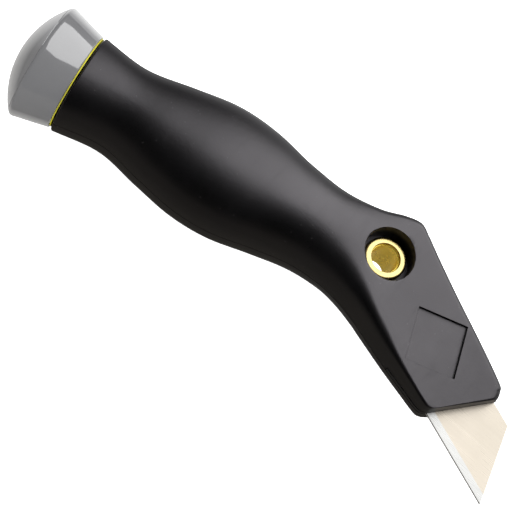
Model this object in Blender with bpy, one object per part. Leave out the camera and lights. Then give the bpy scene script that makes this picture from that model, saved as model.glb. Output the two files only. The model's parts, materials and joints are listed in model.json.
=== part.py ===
"""Utility knife with a swing-open two-shell handle, a hollow brass pivot and a screw-on pommel.

The knife lies on its side. X runs from the pommel to the blade tip, Y from the cutting edge to
the spine, Z across the two shells. The design is written in millimetres about the parting plane
(z = 0), and one empty moves it into the part's own frame, in metres.
"""
import bpy
import bmesh
from math import asin, atan, atan2, cos, pi, radians, sin, sqrt, tan
from mathutils import Matrix, Vector

MM = 0.001

# ---- frame: the box's centre in X and Y, its lowest point in Z ----
BOX_CENTRE_X = 1.715
BOX_CENTRE_Y = 10.987

# ---- parting plane and clearances ----
SHELL_GAP = 0.30
FIT_GAP = 0.30
WALL = 2.2

# ---- pivot, nose flats ----
PIVOT = Vector((26.1, 20.8, 0.0))
NOSE_ANGLE = radians(-20.0)
FLAT_HEIGHT = 10.7
FLAT_SLOPE = 0.135
REAR_FLAT = 6.6

# ---- tail face, where both shells end ----
TAIL_CENTRE = Vector((-64.6, 4.3, 0.0))
TAIL_ANGLE = radians(10.0)
TAIL_RADIUS = 13.85
TAIL_AXIS = Vector((cos(TAIL_ANGLE), sin(TAIL_ANGLE), 0.0))
TAIL_SIDE = Vector((-sin(TAIL_ANGLE), cos(TAIL_ANGLE), 0.0))

# ---- ribs of the handle and nose ----
# Each rib crosses the knife from its belly edge to its spine edge on the parting plane:
# belly x, y; spine x, y; depth of the front shell; depth of the rear shell; how square it is;
# fillet along the front shell's belly edge.
RIBS = [
    [*(TAIL_CENTRE - TAIL_RADIUS * TAIL_SIDE)[:2], *(TAIL_CENTRE + TAIL_RADIUS * TAIL_SIDE)[:2],
     13.6, 13.6, 0.0, 8.0],
    [-49.0, -5.0, -53.8, 18.6, 13.2, 13.2, 0.0, 8.0],
    [-36.0, -5.5, -41.4, 23.8, 14.2, 14.2, 0.0, 8.0],
    [-24.0, -5.7, -28.9, 28.5, 15.0, 15.0, 0.0, 8.0],
    [-13.0, -3.6, -17.0, 30.0, 15.0, 15.0, 0.0, 8.0],
    [-2.0, 0.9, -5.0, 29.4, 14.3, 14.0, 0.0, 8.0],
    [8.0, 4.5, 6.5, 29.6, 13.2, 12.4, 0.1, 8.0],
    [17.0, 5.7, 16.5, 31.9, 12.2, 10.4, 0.45, 6.8],
    [24.0, 5.2, 23.0, 34.7, 11.2, 8.4, 0.8, 5.4],
    [30.6, 3.8, 27.6, 35.7, 10.3, 7.0, 1.0, 3.9],
    [34.1, 2.7, 31.4, 34.3, 9.8, 6.8, 1.0, 3.2],
    [37.5, 1.6, 37.5, 31.5, 9.4, REAR_FLAT, 1.0, 2.8],
    [44.9, -0.6, 48.0, 26.9, 8.2, REAR_FLAT, 1.0, 1.5],
    [51.8, -2.4, 60.1, 21.9, 6.8, REAR_FLAT, 1.0, 0.9],
    [57.2, -3.7, 70.6, 17.1, 5.4, REAR_FLAT, 1.0, 0.8],
    [59.1, -3.4, 72.3, 15.3, 5.1, REAR_FLAT, 1.0, 0.6],
    [60.3, -2.4, 73.0, 12.9, 4.9, REAR_FLAT, 1.0, 0.6],
]
LAST_RIB = len(RIBS) - 1
ROUNDNESS = 2.25
FRONT_DRAFT = 0.12
REAR_DRAFT = 0.24
SPINE_FILLET = 2.4
REAR_FILLET_SHARE = 0.62

# ---- hollows between the cross ribs, as ranges along the rib table ----
FRONT_HOLLOWS = [(0.24, 1.55), (1.67, 3.30), (3.42, 4.90), (5.02, 6.40)]
REAR_HOLLOWS = [(0.50, 1.55), (1.67, 3.30), (3.42, 4.90), (5.02, 6.20)]

# ---- pivot parts ----
COUNTERBORE_R = 7.15
FRONT_FLOOR_Z = 4.6
REAR_FLOOR_Z = -5.1
PIVOT_BORE_R = 4.8
SLEEVE_R = 4.4
SLEEVE_BORE_R = 3.8
SLEEVE_FLANGE_R = 5.7
FLANGE_CLEARANCE = 0.6
SLEEVE_BOTTOM_Z = -6.4
SLEEVE_TOP_Z = 6.2
COLLAR_R = 6.0
COLLAR_BORE_R = 4.0
COLLAR_BOTTOM_Z = 5.5
COLLAR_TOP_Z = 7.3
WASHER_Z = 5.05
WASHER_THICKNESS = 0.24
WASHER_WAVE = 0.12

# ---- blade ----
BLADE_TIP = Vector((85.5, -12.2, 0.0))
BLADE_ANGLE = radians(-21.2)
BLADE_LENGTH = 61.0
BLADE_BACK = 33.5
BLADE_WIDTH = 19.0
BLADE_THICKNESS = 0.6
BLADE_MID_Z = -0.5
BLADE_GRIND = 2.4
EDGE_THICKNESS = 0.1
NOTCH_SPACING = 10.0
NOTCH_WIDTH = 2.8
NOTCH_DEPTH = 2.4
LUG_R = 1.05
LUG_BOTTOM_Z = -4.4

# ---- clamp plate over the blade ----
PLATE_START = 12.0
PLATE_TOP_Z = 1.25
PLATE_RIVETS = [(51.0, 11.0), (60.5, 7.0)]
RIVET_R = 1.5
RIVET_TOP_Z = 4.0

# ---- blank square recess on the nose ----
RECESS_CENTRE = (50.3, 11.6)
RECESS_SIDE = 14.6
RECESS_ANGLE = radians(22.0)
RECESS_DEPTH = 0.8

# ---- spare blades ----
STORE_CENTRE = Vector((-27.5, 11.2, 0.0))
STORE_ANGLE = radians(9.8)
STORE_DEPTH = 6.0
SPARE_COUNT = 5
SPARE_TOP_Z = -0.35
SPARE_PITCH = 0.9
SPRING_THICKNESS = 0.4
SPRING_RISE = 0.7
SPRING_WIDTH = 10.0
SPRING_LENGTH = 52.0

# ---- pommel, measured along the tail axis away from the blade ----
GASKET_START = 0.4
GASKET_END = 0.8
GASKET_R = 13.5
CAP_START = 1.0
CAP_NECK_R = 13.8
CAP_RIM_AT = 10.8
CAP_RIM_R = 16.4
CAP_APEX = 17.4
CAP_MOUTH_R = 11.2
CAP_MOUTH_DEPTH = 2.4
CAP_WELL_DEPTH = 3.6
INSERT_R = 9.2
INSERT_BORE_R = 7.35
INSERT_END = 9.9
SPIGOT_SHOULDER_R = 10.6
SPIGOT_SHOULDER_END = 2.0
SPIGOT_R = 7.0
SPIGOT_END = 9.4
THREAD_PITCH = 2.5
THREAD_DEPTH = 0.7
TONGUE_LENGTH = 5.6
TONGUE_HALF = 7.0
TONGUE_DEPTH = 9.0
PIN_R = 1.2
PIN_OFFSET = 4.0
PIN_AT = 3.2
PIN_DEPTH = 2.2

# ---- how far the cover's tail may reach from the pivot and still swing past the gasket ----
SWING_MARGIN = 0.06
SWING_REACH = (PIVOT - TAIL_CENTRE).dot(TAIL_AXIS) + GASKET_START - SWING_MARGIN

# ---- how far a cutter runs past an outer face, and how finely round parts are divided ----
PAST_FACE = 4.0
ROUND_SEGMENTS = 40
BODY_STEPS = 3


# ---------------------------------------------------------------- scene and object helpers

def clear_scene():
    for obj in list(bpy.data.objects):
        bpy.data.objects.remove(obj, do_unlink=True)


def material(name, color, roughness, metallic):
    made = bpy.data.materials.new(name)
    made.use_nodes = True
    shader = made.node_tree.nodes["Principled BSDF"]
    shader.inputs["Base Color"].default_value = (*color, 1.0)
    shader.inputs["Roughness"].default_value = roughness
    shader.inputs["Metallic"].default_value = metallic
    return made


def add_object(name, bm, mat, origin, parent):
    """Turn a bmesh written in design millimetres into an object whose origin is at origin."""
    bm.transform(Matrix.Translation(-origin))
    bmesh.ops.recalc_face_normals(bm, faces=bm.faces)
    if bm.calc_volume(signed=True) < 0:
        bmesh.ops.reverse_faces(bm, faces=bm.faces)
    bm.transform(Matrix.Scale(MM, 4))
    mesh = bpy.data.meshes.new(name)
    bm.to_mesh(mesh)
    bm.free()
    mesh.shade_smooth()
    mesh.set_sharp_from_angle(angle=radians(35.0))
    if mat:
        mesh.materials.append(mat)
    obj = bpy.data.objects.new(name, mesh)
    obj.location = origin * MM
    obj.parent = parent
    bpy.context.collection.objects.link(obj)
    return obj


def add_cutter(name, bm, parent):
    cutter = add_object(name, bm, None, Vector(), parent)
    cutter.hide_render = True
    cutter.display_type = 'WIRE'
    return cutter


def boolean(obj, cutter, operation='DIFFERENCE'):
    modifier = obj.modifiers.new(cutter.name, 'BOOLEAN')
    modifier.operation = operation
    modifier.solver = 'EXACT'
    modifier.object = cutter


# ---------------------------------------------------------------- shape helpers

def loft(sections):
    """Closed solid through rings of points that all have the same count."""
    bm = bmesh.new()
    rings = [[bm.verts.new(point) for point in section] for section in sections]
    for ring, following in zip(rings, rings[1:]):
        for i in range(len(ring)):
            j = (i + 1) % len(ring)
            bm.faces.new((ring[i], ring[j], following[j], following[i]))
    bm.faces.new(rings[0])
    bm.faces.new(rings[-1])
    return bm


def prism(outline, bottom, top):
    """Closed solid standing on a flat outline of (x, y) points."""
    return loft([[(x, y, z) for x, y in outline] for z in (bottom, top)])


def turned(profile, origin, axis, segments=ROUND_SEGMENTS):
    """Turn a closed profile of (along, radius) points about an axis through origin."""
    frame = Matrix.Translation(origin) @ axis.to_track_quat('Z', 'Y').to_matrix().to_4x4()
    bm = bmesh.new()
    points = [bm.verts.new((radius, 0.0, along)) for along, radius in profile]
    edges = []
    for first, second in zip(points, points[1:] + points[:1]):
        on_axis = first.co.x == 0.0 and second.co.x == 0.0
        if not on_axis:
            edges.append(bm.edges.new((first, second)))
    bmesh.ops.spin(bm, geom=points + edges, cent=(0, 0, 0), axis=(0, 0, 1),
                   angle=2.0 * pi, steps=segments, use_merge=True)
    bmesh.ops.remove_doubles(bm, verts=bm.verts, dist=1e-5)
    bm.transform(frame)
    return bm


def tube(bottom, top, outer, inner):
    return [(bottom, inner), (bottom, outer), (top, outer), (top, inner)]


def rod(bottom, top, radius):
    return [(bottom, 0.0), (bottom, radius), (top, radius), (top, 0.0)]


def box_along(centre, angle, length, width, bottom, top):
    """Upright box whose length runs at an angle to X."""
    turn = Matrix.Rotation(angle, 2)
    corners = [(-1, -1), (1, -1), (1, 1), (-1, 1)]
    outline = []
    for i, j in corners:
        offset = turn @ Vector((i * length / 2, j * width / 2))
        outline.append((centre[0] + offset.x, centre[1] + offset.y))
    return prism(outline, bottom, top)


# ---------------------------------------------------------------- outer form of the shells

def rib_at(t):
    """Smooth curve through the ribs: the same eight values at any place t along them."""
    i = min(int(t), LAST_RIB - 1)
    u = t - i
    p1 = RIBS[i]
    p2 = RIBS[i + 1]
    p0 = RIBS[i - 1] if i > 0 else [2 * a - b for a, b in zip(p1, p2)]
    p3 = RIBS[i + 2] if i + 2 <= LAST_RIB else [2 * b - a for a, b in zip(p1, p2)]
    values = []
    for a, b, c, d in zip(p0, p1, p2, p3):
        values.append(0.5 * (2 * b + (c - a) * u + (2 * a - 5 * b + 4 * c - d) * u ** 2
                             + (3 * b - a - 3 * c + d) * u ** 3))
    return values


def arc(cy, cz, radius, start, end, count):
    step = (end - start) / count
    return [(cy + radius * cos(start + step * k), cz + radius * sin(start + step * k))
            for k in range(count + 1)]


def square_profile(half, depth, draft, belly_fillet, spine_fillet, arc_steps):
    """Half section with drafted walls, a flat top and two fillets, from belly to spine."""
    lean = atan(draft)
    setback = 1.0 / cos(lean) - tan(lean)
    wall = depth - max(belly_fillet, spine_fillet)
    feet = (0.3 * wall, 0.6 * wall)
    belly = arc(-half + draft * depth + belly_fillet * setback, depth - belly_fillet,
                belly_fillet, pi - lean, pi / 2, arc_steps)
    spine = arc(half - draft * depth - spine_fillet * setback, depth - spine_fillet,
                spine_fillet, pi / 2, lean, arc_steps)
    left, right = belly[-1][0], spine[0][0]
    flat = [(left + (right - left) * k / 3, depth) for k in (1, 2)]
    belly_wall = [(-half, 0.0)] + [(-half + draft * foot, foot) for foot in feet]
    spine_wall = [(-y, z) for y, z in belly_wall[::-1]]
    return belly_wall + belly + flat + spine + spine_wall


def front_plane(x, y):
    """Height of the nose's sloping front flat over the parting plane."""
    along = (x - PIVOT.x) * cos(NOSE_ANGLE) + (y - PIVOT.y) * sin(NOSE_ANGLE)
    return FLAT_HEIGHT - FLAT_SLOPE * along


def half_section(t, side, inset, base, arc_steps=4):
    """Ring of points at place t for the front (side 1) or rear (side -1) shell.

    inset moves the surface inwards, and base is the height at which the ring closes.
    """
    lx, ly, ux, uy, front_depth, rear_depth, square, belly_fillet = rib_at(t)
    square = min(max(square, 0.0), 1.0)
    centre = Vector(((lx + ux) / 2, (ly + uy) / 2))
    across = Vector(((ux - lx) / 2, (uy - ly) / 2))
    half = across.length - inset
    across.normalize()
    depth = (front_depth if side > 0 else rear_depth) - inset
    if side > 0:
        profile = square_profile(half, depth, FRONT_DRAFT, min(belly_fillet, 0.6 * depth),
                                 min(SPINE_FILLET, 0.5 * depth), arc_steps)
    else:
        fillet = REAR_FILLET_SHARE * depth
        profile = square_profile(half, depth, REAR_DRAFT, fillet, fillet, arc_steps)
    ring = []
    for y, z in profile:
        turn = atan2(z / depth, y / half)
        reach = (abs(cos(turn)) ** ROUNDNESS + abs(sin(turn)) ** ROUNDNESS) ** (-1 / ROUNDNESS)
        y = (1 - square) * half * reach * cos(turn) + square * y
        z = (1 - square) * depth * reach * sin(turn) + square * z
        place = centre + across * y
        if side > 0:
            z *= 1 + square * ((front_plane(place.x, place.y) - inset) / depth - 1)
        ring.append(Vector((place.x, place.y, side * z)))
    ring[0].z = base
    ring[-1].z = base
    return ring


def body_places(start, end, steps=BODY_STEPS):
    count = max(2, round((end - start) * steps))
    return [start + (end - start) * k / count for k in range(count + 1)]


def swing_relief(point):
    """How far a point of the tail face lies outside the arc that the cover swings through."""
    offset = point - PIVOT
    aside = max(offset.dot(TAIL_SIDE), 0.0)
    flat_offset = -offset.dot(TAIL_AXIS)
    return max(flat_offset - sqrt(SWING_REACH ** 2 - aside ** 2), 0.0)


def shell_solid(side):
    base = side * SHELL_GAP / 2
    sections = [half_section(t, side, 0.0, base) for t in body_places(0.0, LAST_RIB)]
    if side > 0:
        sections[0] = [point + TAIL_AXIS * swing_relief(point) for point in sections[0]]
    return loft(sections)


def hollow_solid(side, start, end):
    places = body_places(start, end, 2)
    return loft([half_section(t, side, WALL, -side, 3) for t in places])


def nose_outline(start, outward=0.0, past_end=0.0):
    """Plan outline of the nose from place start to its end, belly side first."""
    places = body_places(start, LAST_RIB)
    belly = []
    spine = []
    for t in places:
        lx, ly, ux, uy = rib_at(t)[:4]
        across = Vector((ux - lx, uy - ly)).normalized()
        belly.append(Vector((lx, ly)) - across * outward)
        spine.append(Vector((ux, uy)) + across * outward)
    if past_end:
        ahead = Vector((cos(NOSE_ANGLE), sin(NOSE_ANGLE))) * past_end
        belly.append(belly[-1] + ahead)
        spine.append(spine[-1] + ahead)
    return [tuple(point) for point in belly + spine[::-1]]


# ---------------------------------------------------------------- blade outlines

def blade_point(along, height):
    """Plan point of the fitted blade: along from its tip, height from its cutting edge."""
    ahead = Vector((cos(BLADE_ANGLE), sin(BLADE_ANGLE)))
    up = Vector((-ahead.y, ahead.x))
    place = Vector(BLADE_TIP[:2]) - ahead * along + up * height
    return (place.x, place.y)


def notch_points():
    """Back edge of the blade from its front corner to its rear one, with two lug notches."""
    middle = BLADE_LENGTH / 2
    points = []
    for centre in (middle - NOTCH_SPACING / 2, middle + NOTCH_SPACING / 2):
        half = NOTCH_WIDTH / 2
        points.append((centre - half, BLADE_WIDTH))
        for k in range(5):
            turn = pi - pi * k / 4
            points.append((centre + half * cos(turn),
                           BLADE_WIDTH - NOTCH_DEPTH + half - half * sin(turn)))
        points.append((centre + half, BLADE_WIDTH))
    return points


def blade_solid():
    """Trapezoid blade about its own outline, in (along, height) on its middle plane."""
    slant = (BLADE_LENGTH - BLADE_BACK) / 2
    run = slant * BLADE_GRIND / BLADE_WIDTH
    edge = [(0.0, 0.0), (BLADE_LENGTH, 0.0)]
    ground = [(run, BLADE_GRIND), (BLADE_LENGTH - run, BLADE_GRIND)]
    back = ([(slant, BLADE_WIDTH)] + notch_points() + [(BLADE_LENGTH - slant, BLADE_WIDTH)])
    bm = bmesh.new()

    def layer(points, z):
        return [bm.verts.new((x, y, z)) for x, y in points]

    half = BLADE_THICKNESS / 2
    edge_top, edge_low = layer(edge, EDGE_THICKNESS / 2), layer(edge, -EDGE_THICKNESS / 2)
    ground_top, ground_low = layer(ground, half), layer(ground, -half)
    back_top, back_low = layer(back, half), layer(back, -half)
    bm.faces.new([ground_top[0]] + back_top + [ground_top[1]])
    bm.faces.new([ground_low[0]] + back_low + [ground_low[1]])
    for edge_side, ground_side in ((edge_top, ground_top), (edge_low, ground_low)):
        bm.faces.new(edge_side + ground_side[::-1])
    bm.faces.new(edge_top + edge_low[::-1])
    for i, j in zip(range(len(back) - 1), range(1, len(back))):
        bm.faces.new((back_top[i], back_top[j], back_low[j], back_low[i]))
    for end in (0, 1):
        rear = -end
        bm.faces.new((ground_top[end], back_top[rear], back_low[rear], ground_low[end]))
        bm.faces.new((edge_top[end], ground_top[end], ground_low[end], edge_low[end]))
    return bm


# ---------------------------------------------------------------- shells

def cut_hollows(obj, side, ranges, parent):
    for number, (start, end) in enumerate(ranges, 1):
        name = f"{obj.name}_hollow_{number}"
        boolean(obj, add_cutter(name, hollow_solid(side, start, end), parent))


def front_shell(mat, parent):
    shell = add_object("front_shell", shell_solid(1), mat, PIVOT, parent)
    cut_hollows(shell, 1, FRONT_HOLLOWS, parent)
    up = Vector((0, 0, 1))
    bore = turned([(-1.0, 0.0), (-1.0, PIVOT_BORE_R), (FRONT_FLOOR_Z, PIVOT_BORE_R),
                   (FRONT_FLOOR_Z, COUNTERBORE_R), (FLAT_HEIGHT + PAST_FACE, COUNTERBORE_R),
                   (FLAT_HEIGHT + PAST_FACE, 0.0)], PIVOT, up)
    boolean(shell, add_cutter("front_pivot_bore", bore, parent))
    relief = prism(nose_outline(PLATE_START - 0.03, 2.0, 2.0), -1.0, PLATE_TOP_Z + FIT_GAP)
    boolean(shell, add_cutter("plate_relief", relief, parent))
    boolean(shell, add_cutter("nose_recess", recess_solid(), parent))
    for number, (x, y) in enumerate(PLATE_RIVETS, 1):
        hole = turned(rod(0.0, RIVET_TOP_Z + FIT_GAP, RIVET_R + FIT_GAP), Vector((x, y, 0)), up, 16)
        boolean(shell, add_cutter(f"rivet_hole_{number}", hole, parent))
    return shell


def recess_solid():
    """Square block standing in the sloping front flat, as deep as the recess."""
    bm = box_along((0.0, 0.0), RECESS_ANGLE - NOSE_ANGLE, RECESS_SIDE, RECESS_SIDE,
                   -RECESS_DEPTH, 3.0)
    x, y = RECESS_CENTRE
    tilt = Matrix.Rotation(atan(FLAT_SLOPE), 4, 'Y')
    turn = Matrix.Rotation(NOSE_ANGLE, 4, 'Z')
    bm.transform(Matrix.Translation((x, y, front_plane(x, y))) @ turn @ tilt)
    return bm


def rear_shell(mat, parent):
    shell = add_object("rear_shell", shell_solid(-1), mat, PIVOT, parent)
    cut_hollows(shell, -1, REAR_HOLLOWS, parent)
    up = Vector((0, 0, 1))
    flange_r = SLEEVE_FLANGE_R + FLANGE_CLEARANCE
    bore = turned([(-REAR_FLAT - PAST_FACE, 0.0), (-REAR_FLAT - PAST_FACE, flange_r),
                   (REAR_FLOOR_Z, flange_r), (REAR_FLOOR_Z, PIVOT_BORE_R),
                   (1.0, PIVOT_BORE_R), (1.0, 0.0)], PIVOT, up)
    boolean(shell, add_cutter("rear_pivot_bore", bore, parent))
    store = box_along(STORE_CENTRE, STORE_ANGLE, BLADE_LENGTH + 1.0, BLADE_WIDTH + 0.8,
                      -STORE_DEPTH, 1.0)
    boolean(shell, add_cutter("spare_blade_store", store, parent))
    boolean(shell, add_cutter("blade_pocket", blade_pocket(), parent))
    boolean(shell, add_cutter("tongue_slot", tongue_solid(FIT_GAP, 1.0), parent))
    for number, (x, y) in enumerate(lug_places(), 1):
        hole = turned(rod(LUG_BOTTOM_Z - FIT_GAP, 0.0, LUG_R + FIT_GAP), Vector((x, y, 0)), up, 16)
        boolean(shell, add_cutter(f"lug_hole_{number}", hole, parent))
    for number, place in enumerate(pin_places(), 1):
        hole = turned(rod(-TONGUE_DEPTH - PIN_DEPTH - FIT_GAP, 0.0, PIN_R + FIT_GAP), place, up, 16)
        boolean(shell, add_cutter(f"pin_hole_{number}", hole, parent))
    return shell


def blade_pocket():
    """Pocket for the blade's flat: the blade's outline grown by the fit gap."""
    slant = (BLADE_LENGTH - BLADE_BACK) / 2
    gap = FIT_GAP
    outline = [blade_point(-2.0, -gap), blade_point(BLADE_LENGTH + 2 * gap, -gap),
               blade_point(BLADE_LENGTH - slant + gap, BLADE_WIDTH + gap),
               blade_point(slant - 6.0, BLADE_WIDTH + gap)]
    floor = BLADE_MID_Z - BLADE_THICKNESS / 2 - gap
    return prism(outline, floor, 1.0)


def lug_places():
    """Centres of the two lug pins, at the bottom of the blade's notches."""
    height = BLADE_WIDTH - NOTCH_DEPTH + NOTCH_WIDTH / 2
    middle = BLADE_LENGTH / 2
    return [blade_point(middle + offset, height) for offset in
            (-NOTCH_SPACING / 2, NOTCH_SPACING / 2)]


# ---------------------------------------------------------------- pivot, blade and clamp

def pivot_sleeve(mat, parent):
    profile = [(SLEEVE_BOTTOM_Z, SLEEVE_BORE_R), (SLEEVE_BOTTOM_Z, SLEEVE_FLANGE_R),
               (SLEEVE_BOTTOM_Z + 1.0, SLEEVE_FLANGE_R), (SLEEVE_BOTTOM_Z + 1.0, SLEEVE_R),
               (SLEEVE_TOP_Z, SLEEVE_R), (SLEEVE_TOP_Z, SLEEVE_BORE_R)]
    return add_object("pivot_sleeve", turned(profile, PIVOT, Vector((0, 0, 1))), mat, PIVOT, parent)


def pivot_collar(mat, parent):
    step = SLEEVE_TOP_Z + FIT_GAP
    seat = SLEEVE_R + FIT_GAP
    profile = [(COLLAR_BOTTOM_Z, seat), (COLLAR_BOTTOM_Z, COLLAR_R), (COLLAR_TOP_Z - 0.3, COLLAR_R),
               (COLLAR_TOP_Z, COLLAR_R - 0.3), (COLLAR_TOP_Z, COLLAR_BORE_R + 0.2),
               (COLLAR_TOP_Z - 0.2, COLLAR_BORE_R), (step, COLLAR_BORE_R), (step, seat)]
    return add_object("pivot_collar", turned(profile, PIVOT, Vector((0, 0, 1))), mat, PIVOT, parent)


def wave_washer(mat, parent):
    half = WASHER_THICKNESS / 2
    ring = tube(WASHER_Z - half, WASHER_Z + half, COLLAR_R - 0.1, SLEEVE_R + FIT_GAP)
    bm = turned(ring, PIVOT, Vector((0, 0, 1)))
    for vert in bm.verts:
        turn = atan2(vert.co.y - PIVOT.y, vert.co.x - PIVOT.x)
        vert.co.z += WASHER_WAVE * cos(3 * turn)
    return add_object("wave_washer", bm, mat, PIVOT, parent)


def blade(mat, parent):
    bm = blade_solid()
    turn = Matrix.Rotation(BLADE_ANGLE, 4, 'Z') @ Matrix.Scale(-1, 4, Vector((1, 0, 0)))
    bm.transform(Matrix.Translation((BLADE_TIP.x, BLADE_TIP.y, BLADE_MID_Z)) @ turn)
    return add_object("blade", bm, mat, Vector((BLADE_TIP.x, BLADE_TIP.y, BLADE_MID_Z)), parent)


def lug_pins(mat, parent):
    top = BLADE_MID_Z + BLADE_THICKNESS / 2
    for number, (x, y) in enumerate(lug_places(), 1):
        place = Vector((x, y, 0.0))
        bm = turned(rod(LUG_BOTTOM_Z, top, LUG_R), place, Vector((0, 0, 1)), 20)
        add_object(f"blade_lug_pin_{number}", bm, mat, place, parent)


def clamp_plate(mat, parent):
    plate = add_object("blade_clamp_plate",
                       prism(nose_outline(PLATE_START), SHELL_GAP / 2, PLATE_TOP_Z),
                       mat, PIVOT, parent)
    for number, (x, y) in enumerate(PLATE_RIVETS, 1):
        hole = turned(rod(-1.0, PLATE_TOP_Z + 1.0, RIVET_R + FIT_GAP), Vector((x, y, 0)),
                      Vector((0, 0, 1)), 20)
        boolean(plate, add_cutter(f"plate_hole_{number}", hole, parent))


def clamp_rivets(mat, parent):
    for number, (x, y) in enumerate(PLATE_RIVETS, 1):
        place = Vector((x, y, 0.0))
        bm = turned(rod(SHELL_GAP / 2 + 0.1, RIVET_TOP_Z, RIVET_R), place, Vector((0, 0, 1)), 20)
        add_object(f"clamp_rivet_{number}", bm, mat, place, parent)


# ---------------------------------------------------------------- spare blades

def spare_blades(mat, parent):
    for number in range(1, SPARE_COUNT + 1):
        bm = blade_solid()
        bm.transform(Matrix.Translation((-BLADE_LENGTH / 2, -BLADE_WIDTH / 2, 0.0)))
        bm.transform(Matrix.Rotation(STORE_ANGLE, 4, 'Z'))
        middle = SPARE_TOP_Z - BLADE_THICKNESS / 2 - SPARE_PITCH * (number - 1)
        place = Vector((STORE_CENTRE.x, STORE_CENTRE.y, middle))
        bm.transform(Matrix.Translation(place))
        add_object(f"spare_blade_{number}", bm, mat, place, parent)


def spare_blade_spring(mat, parent):
    """Bowed leaf under the stack: its ends rest on the store's floor, its crown lifts the stack."""
    count = 16
    floor = -STORE_DEPTH + 0.15
    upper = []
    lower = []
    for k in range(count + 1):
        share = k / count
        rise = SPRING_RISE * (1 - (2 * share - 1) ** 2)
        x = SPRING_LENGTH * (share - 0.5)
        lower.append((x, floor + rise))
        upper.append((x, floor + rise + SPRING_THICKNESS))
    outline = lower + upper[::-1]
    half = SPRING_WIDTH / 2
    bm = loft([[(x, y, z) for x, z in outline] for y in (-half, half)])
    bm.transform(Matrix.Translation(STORE_CENTRE) @ Matrix.Rotation(STORE_ANGLE, 4, 'Z'))
    add_object("spare_blade_spring", bm, mat, STORE_CENTRE, parent)


# ---------------------------------------------------------------- pommel and spigot

def cap_profile():
    """Cone from the neck to the rim, then a shallow dome; inside, a mouth and the insert seat."""
    dome_start = CAP_RIM_AT + 0.8
    edge_r = CAP_RIM_R - 0.5
    rise = CAP_APEX - dome_start
    ball_r = (edge_r ** 2 + rise ** 2) / (2 * rise)
    open_angle = asin(edge_r / ball_r)
    dome = []
    for k in range(6):
        turn = open_angle * (1 - k / 6)
        dome.append((CAP_APEX - ball_r * (1 - cos(turn)), ball_r * sin(turn)))
    outside = [(CAP_START, CAP_NECK_R), (CAP_RIM_AT - 0.4, CAP_RIM_R - 0.1),
               (CAP_RIM_AT, CAP_RIM_R)] + dome + [(CAP_APEX, 0.0)]
    seat_r = INSERT_R + FIT_GAP
    seat_end = INSERT_END + FIT_GAP
    well_end = seat_end + CAP_WELL_DEPTH
    inside = [(well_end, 0.0), (well_end, INSERT_BORE_R), (seat_end, INSERT_BORE_R),
              (seat_end, seat_r), (CAP_MOUTH_DEPTH, seat_r), (CAP_MOUTH_DEPTH, CAP_MOUTH_R),
              (CAP_START, CAP_MOUTH_R)]
    return outside + inside


def pommel(cap_mat, insert_mat, gasket_mat, parent):
    away = -TAIL_AXIS
    add_object("pommel_cap", turned(cap_profile(), TAIL_CENTRE, away), cap_mat, TAIL_CENTRE, parent)
    insert = tube(CAP_MOUTH_DEPTH + FIT_GAP, INSERT_END, INSERT_R, INSERT_BORE_R)
    add_object("cap_insert", turned(insert, TAIL_CENTRE, away), insert_mat, TAIL_CENTRE, parent)
    ring = tube(GASKET_START, GASKET_END, GASKET_R, SPIGOT_SHOULDER_R + 1.0)
    add_object("cap_gasket", turned(ring, TAIL_CENTRE, away), gasket_mat, TAIL_CENTRE, parent)


def tongue_solid(grow, top):
    """Block that reaches from the spigot's shoulder into the rear shell's tail."""
    length = TONGUE_LENGTH + 1.0 + grow
    middle = TAIL_CENTRE + TAIL_AXIS * ((TONGUE_LENGTH + grow - 1.0) / 2)
    return box_along(middle, TAIL_ANGLE, length, 2 * (TONGUE_HALF + grow),
                     -TONGUE_DEPTH - grow, top)


def pin_places():
    return [TAIL_CENTRE + TAIL_AXIS * PIN_AT + TAIL_SIDE * offset
            for offset in (-PIN_OFFSET, PIN_OFFSET)]


def tail_spigot(mat, parent):
    profile = [(GASKET_START + 0.1, 0.0), (GASKET_START + 0.1, SPIGOT_SHOULDER_R),
               (SPIGOT_SHOULDER_END, SPIGOT_SHOULDER_R), (SPIGOT_SHOULDER_END, SPIGOT_R)]
    along = SPIGOT_SHOULDER_END + 0.8
    while along + THREAD_PITCH < SPIGOT_END:
        profile.append((along, SPIGOT_R))
        profile.append((along + THREAD_PITCH / 2, SPIGOT_R - THREAD_DEPTH))
        profile.append((along + THREAD_PITCH, SPIGOT_R))
        along += THREAD_PITCH + 0.2
    profile += [(SPIGOT_END - 0.6, SPIGOT_R), (SPIGOT_END, SPIGOT_R - 0.6), (SPIGOT_END, 0.0)]
    spigot = add_object("tail_spigot", turned(profile, TAIL_CENTRE, -TAIL_AXIS), mat,
                        TAIL_CENTRE, parent)
    tongue = add_cutter("spigot_tongue", tongue_solid(0.0, -0.4), parent)
    boolean(spigot, tongue, 'UNION')
    up = Vector((0, 0, 1))
    for number, place in enumerate(pin_places(), 1):
        hole = turned(rod(-TONGUE_DEPTH - 1.0, 1.0, PIN_R + FIT_GAP), place, up, 16)
        boolean(spigot, add_cutter(f"tongue_hole_{number}", hole, parent))


def spigot_pins(mat, parent):
    for number, place in enumerate(pin_places(), 1):
        bm = turned(rod(-TONGUE_DEPTH - PIN_DEPTH, -0.5, PIN_R), place, Vector((0, 0, 1)), 20)
        add_object(f"spigot_pin_{number}", bm, mat, place, parent)


# ---------------------------------------------------------------- the knife

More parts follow.
